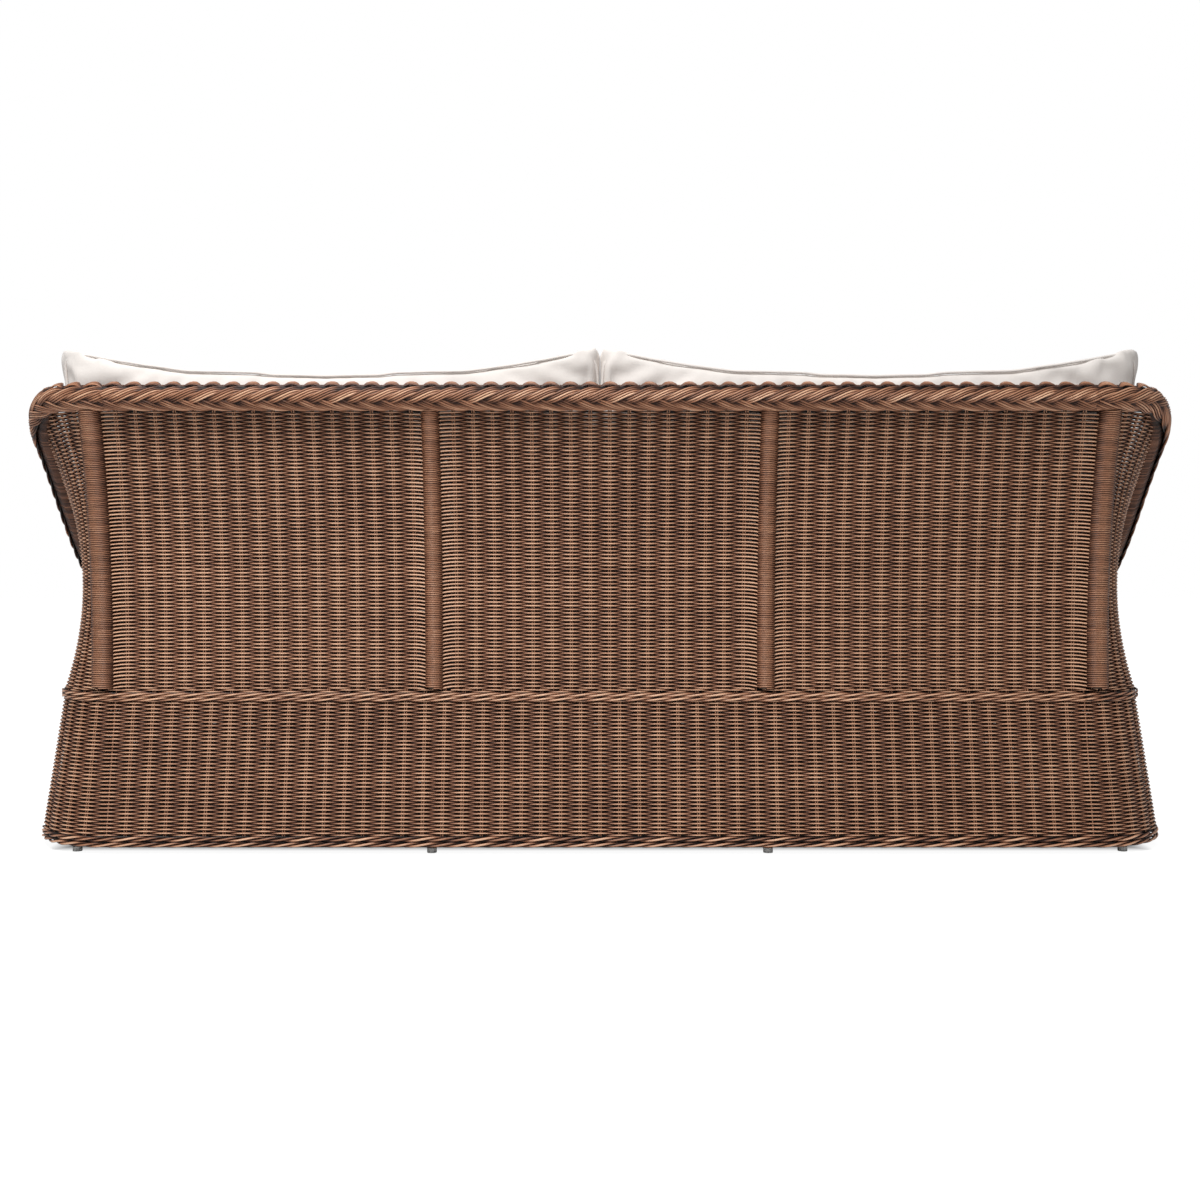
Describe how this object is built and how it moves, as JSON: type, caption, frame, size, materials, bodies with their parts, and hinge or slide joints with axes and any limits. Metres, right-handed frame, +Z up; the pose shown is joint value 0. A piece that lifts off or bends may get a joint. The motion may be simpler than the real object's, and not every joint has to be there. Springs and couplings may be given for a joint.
{
  "type": "woven garden sofa",
  "caption": "Woven garden sofa with a braided edge roll that falls from the back into low arms, a flared woven skirt, and loose piped seat and back cushions.",
  "frame": {"origin": "centre of the footprint on the floor, below the middle of the bounding box", "axes": "+X to the sitter's left, along the sofa's length; -Y is the front, +Y the back; +Z up"},
  "size_m": [2.1796, 0.8977, 0.945],
  "materials": {
    "strand": "round synthetic rattan strand, mid brown, low sheen",
    "braid": "bundles of synthetic rattan strand, plaited or twisted, mid brown, low sheen",
    "frame": "bent round tube with a brown powder coat",
    "webbing": "woven brown webbing under the seat cushions",
    "canvas": "off-white outdoor canvas over foam, with self piping",
    "glide": "grey moulded foot glide"
  },
  "bodies": {
    "frame": {"back_panel_left": "strand", "back_panel_centre": "strand", "back_panel_right": "strand", "arm_panel_left": "strand", "arm_panel_right": "strand", "skirt_back": "strand", "skirt_left": "strand", "skirt_right": "strand", "skirt_front": "strand", "corner_post_wrap_left": "strand", "corner_post_wrap_right": "strand", "inner_post_wrap_left": "strand", "inner_post_wrap_right": "strand", "braided_roll_back": "braid", "braided_roll_left_arm": "braid", "braided_roll_right_arm": "braid", "seat_band_back": "braid", "seat_band_left": "braid", "seat_band_right": "braid", "seat_band_front": "braid", "hem_band_back": "braid", "hem_band_left": "braid", "hem_band_right": "braid", "hem_band_front": "braid", "rim_tube_back": "frame", "arm_tube_left": "frame", "arm_tube_right": "frame", "corner_post_tube_left": "frame", "corner_post_tube_right": "frame", "inner_post_tube_left": "frame", "inner_post_tube_right": "frame", "seat_rail_back": "frame", "seat_rail_left": "frame", "seat_rail_right": "frame", "seat_rail_front": "frame", "floor_rail_back": "frame", "floor_rail_left": "frame", "floor_rail_right": "frame", "floor_rail_front": "frame", "corner_leg_left": "frame", "corner_leg_right": "frame", "inner_leg_left": "frame", "inner_leg_right": "frame", "seat_bearer_1": "frame", "seat_bearer_2": "frame", "seat_bearer_3": "frame", "seat_bearer_4": "frame", "seat_deck": "webbing", "glide_back_corner_left": "glide", "glide_back_corner_right": "glide", "glide_back_inner_left": "glide", "glide_back_inner_right": "glide", "glide_front_inner_left": "glide", "glide_front_inner_right": "glide", "glide_front_leg_left": "glide", "glide_front_leg_right": "glide"},
    "back_cushion_left": {"back_cushion_left": "canvas"},
    "back_cushion_right": {"back_cushion_right": "canvas"},
    "seat_cushion_left": {"seat_cushion_left": "canvas"},
    "seat_cushion_right": {"seat_cushion_right": "canvas"}
  },
  "joints": [
    {"name": "back_cushion_left_lift", "type": "slide", "parent": "frame", "child": "back_cushion_left", "axis": [0, 0, 1], "range_m": [0, 0.45]},
    {"name": "back_cushion_right_lift", "type": "slide", "parent": "frame", "child": "back_cushion_right", "axis": [0, 0, 1], "range_m": [0, 0.45]},
    {"name": "seat_cushion_left_pull", "type": "slide", "parent": "frame", "child": "seat_cushion_left", "axis": [0, -1, 0], "range_m": [0, 0.76]},
    {"name": "seat_cushion_right_pull", "type": "slide", "parent": "frame", "child": "seat_cushion_right", "axis": [0, -1, 0], "range_m": [0, 0.76]}
  ]
}
